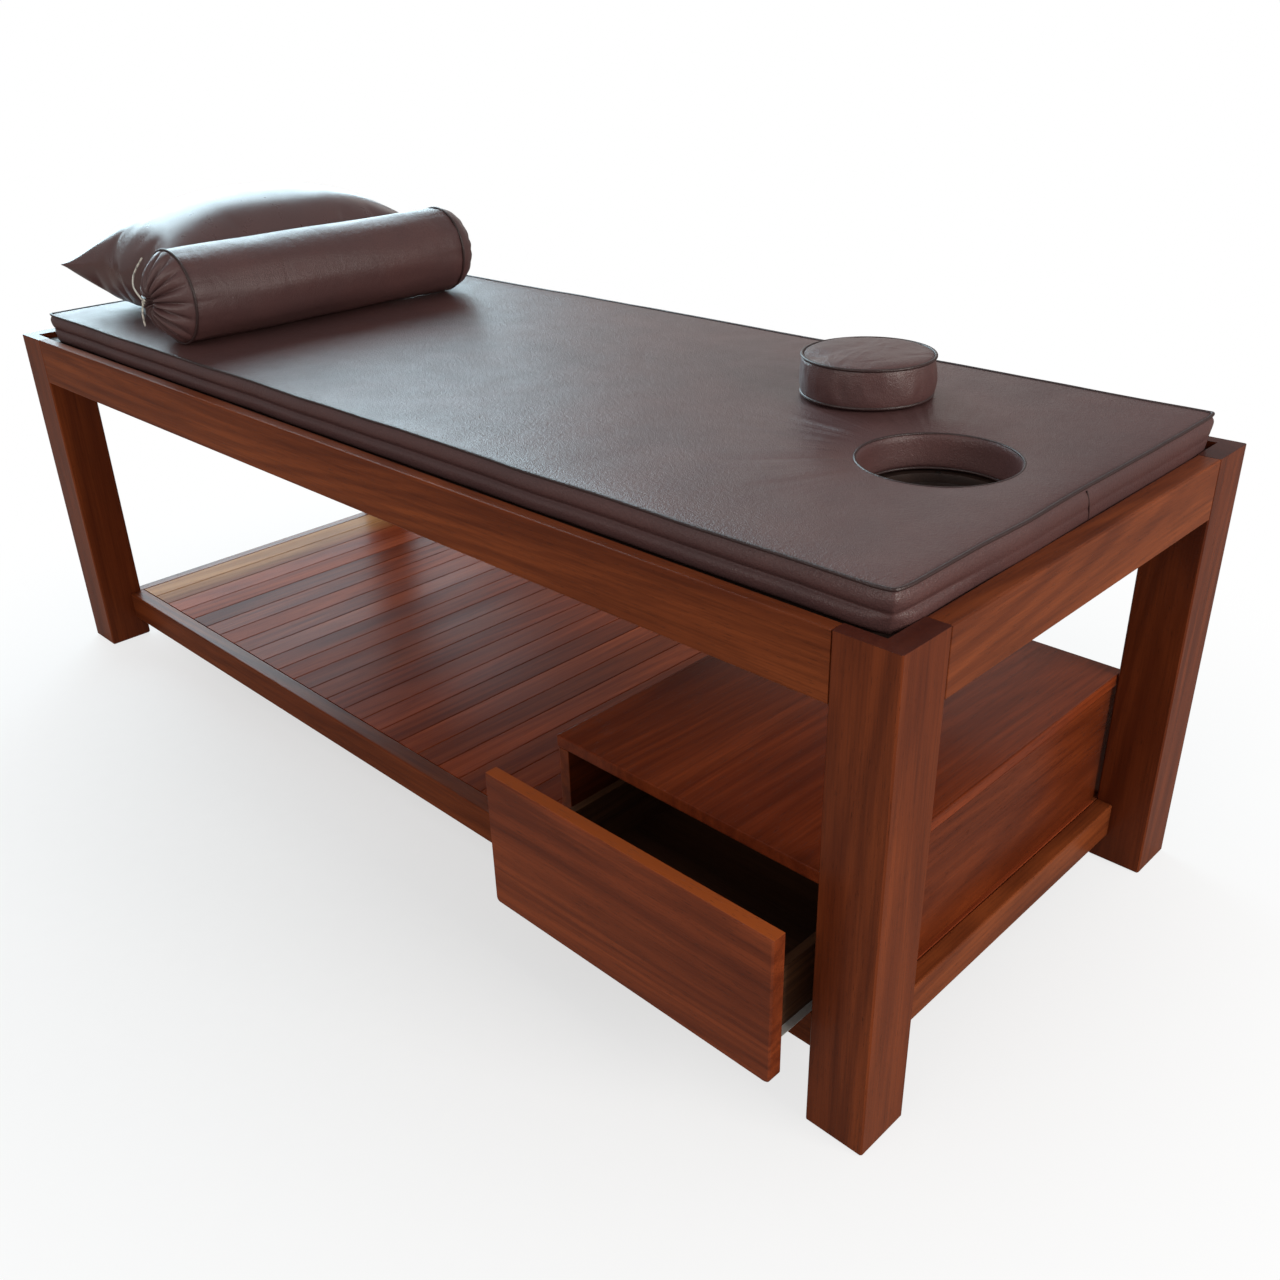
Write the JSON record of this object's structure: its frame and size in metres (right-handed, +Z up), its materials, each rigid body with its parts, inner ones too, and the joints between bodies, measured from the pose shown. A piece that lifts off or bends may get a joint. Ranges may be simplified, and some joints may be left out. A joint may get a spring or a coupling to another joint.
{
  "type": "massage bed",
  "caption": "Wooden massage bed with a low shelf, a drawer cabinet, a padded mattress with a face hole, a round cushion for the hole, a bolster and a pillow.",
  "frame": {"origin": "on the floor under the middle of the whole box, with the drawer partly open as it stands at rest", "axes": "+X along the bed towards the face hole and the drawer cabinet, +Y away from the drawer's front, +Z up"},
  "size_m": [2, 0.857, 0.8876],
  "materials": {
    "teak": "glossy lacquered reddish-brown",
    "bare_wood": "plain planed",
    "plywood": "sealed",
    "beech": "fluted dowel",
    "zinc_steel": "zinc plated",
    "epoxy_steel": "white epoxy",
    "nylon": "turned nylon",
    "leatherette": "soft sheen",
    "cotton_cord": "limp cotton"
  },
  "bodies": {
    "frame": {"leg_front_left": "teak", "leg_front_right": "teak", "leg_back_left": "teak", "leg_back_right": "teak", "rail_front": "teak", "rail_back": "teak", "rail_left": "teak", "rail_right": "teak", "cleat_front": "teak", "cleat_back": "teak", "bearer_1": "teak", "bearer_2": "teak", "bearer_3": "teak", "bearer_4": "teak", "bearer_5": "teak", "bearer_6": "teak", "bearer_7": "teak", "frame_screws": "zinc_steel", "base_board": "plywood", "hole_stiffener": "plywood", "base_screws": "zinc_steel", "shelf_rail_front": "teak", "shelf_rail_back": "teak", "shelf_rail_left": "teak", "shelf_rail_right": "teak", "shelf_cleat_front": "teak", "shelf_cleat_back": "teak", "shelf_slats": "teak", "cabinet_top": "teak", "cabinet_side_left": "teak", "cabinet_side_right": "teak", "cabinet_back": "plywood", "cabinet_dowels": "beech", "runner_cabinet_left": "epoxy_steel", "runner_cabinet_right": "epoxy_steel", "runner_screws_cabinet": "zinc_steel", "roller_pins_cabinet": "zinc_steel"},
    "drawer": {"drawer_front": "teak", "drawer_side_left": "bare_wood", "drawer_side_right": "bare_wood", "drawer_back": "bare_wood", "drawer_bottom": "plywood", "drawer_dowels": "beech", "drawer_screws": "zinc_steel", "runner_drawer_left": "epoxy_steel", "runner_drawer_right": "epoxy_steel", "runner_screws_drawer": "zinc_steel", "roller_pins_drawer": "zinc_steel"},
    "front_roller_left": {"roller_cabinet_left": "nylon"},
    "front_roller_right": {"roller_cabinet_right": "nylon"},
    "back_roller_left": {"roller_drawer_left": "nylon"},
    "back_roller_right": {"roller_drawer_right": "nylon"},
    "mattress": {"mattress": "leatherette"},
    "plug": {"plug_cushion": "leatherette"},
    "bolster": {"bolster": "leatherette", "drawstring_upper": "cotton_cord", "drawstring_lower": "cotton_cord", "drawstring_knot": "cotton_cord"},
    "pillow": {"pillow": "leatherette"}
  },
  "joints": [
    {"name": "drawer_slide", "type": "slide", "parent": "frame", "child": "drawer", "axis": [0, -1, 0], "range_m": [-0.106, 0.259]},
    {"name": "front_roller_turn_left", "type": "hinge", "parent": "frame", "child": "front_roller_left", "pos_m": [0.47, -0.2855, 0.11665], "axis": [1, 0, 0], "range_deg": [-660, 1600]},
    {"name": "back_roller_turn_left", "type": "hinge", "parent": "drawer", "child": "back_roller_left", "pos_m": [0.47, 0.0775, 0.11615], "axis": [1, 0, 0], "range_deg": [-660, 1600]},
    {"name": "front_roller_turn_right", "type": "hinge", "parent": "frame", "child": "front_roller_right", "pos_m": [0.89, -0.2855, 0.11665], "axis": [1, 0, 0], "range_deg": [-660, 1600]},
    {"name": "back_roller_turn_right", "type": "hinge", "parent": "drawer", "child": "back_roller_right", "pos_m": [0.89, 0.0775, 0.11615], "axis": [1, 0, 0], "range_deg": [-660, 1600]},
    {"name": "mattress_lift", "type": "slide", "parent": "frame", "child": "mattress", "axis": [0, 0, 1], "range_m": [0, 0.25]},
    {"name": "plug_lift", "type": "slide", "parent": "mattress", "child": "plug", "axis": [0, 0, 1], "range_m": [0, 0.2]},
    {"name": "bolster_lift", "type": "slide", "parent": "mattress", "child": "bolster", "axis": [0, 0, 1], "range_m": [0, 0.25]},
    {"name": "pillow_lift", "type": "slide", "parent": "mattress", "child": "pillow", "axis": [0, 0, 1], "range_m": [0, 0.25]}
  ],
  "couplings": [
    {"joint": "front_roller_turn_left", "follows": "drawer_slide", "rad_per_m": 107.53},
    {"joint": "back_roller_turn_left", "follows": "drawer_slide", "rad_per_m": 107.53},
    {"joint": "front_roller_turn_right", "follows": "drawer_slide", "rad_per_m": 107.53},
    {"joint": "back_roller_turn_right", "follows": "drawer_slide", "rad_per_m": 107.53}
  ]
}
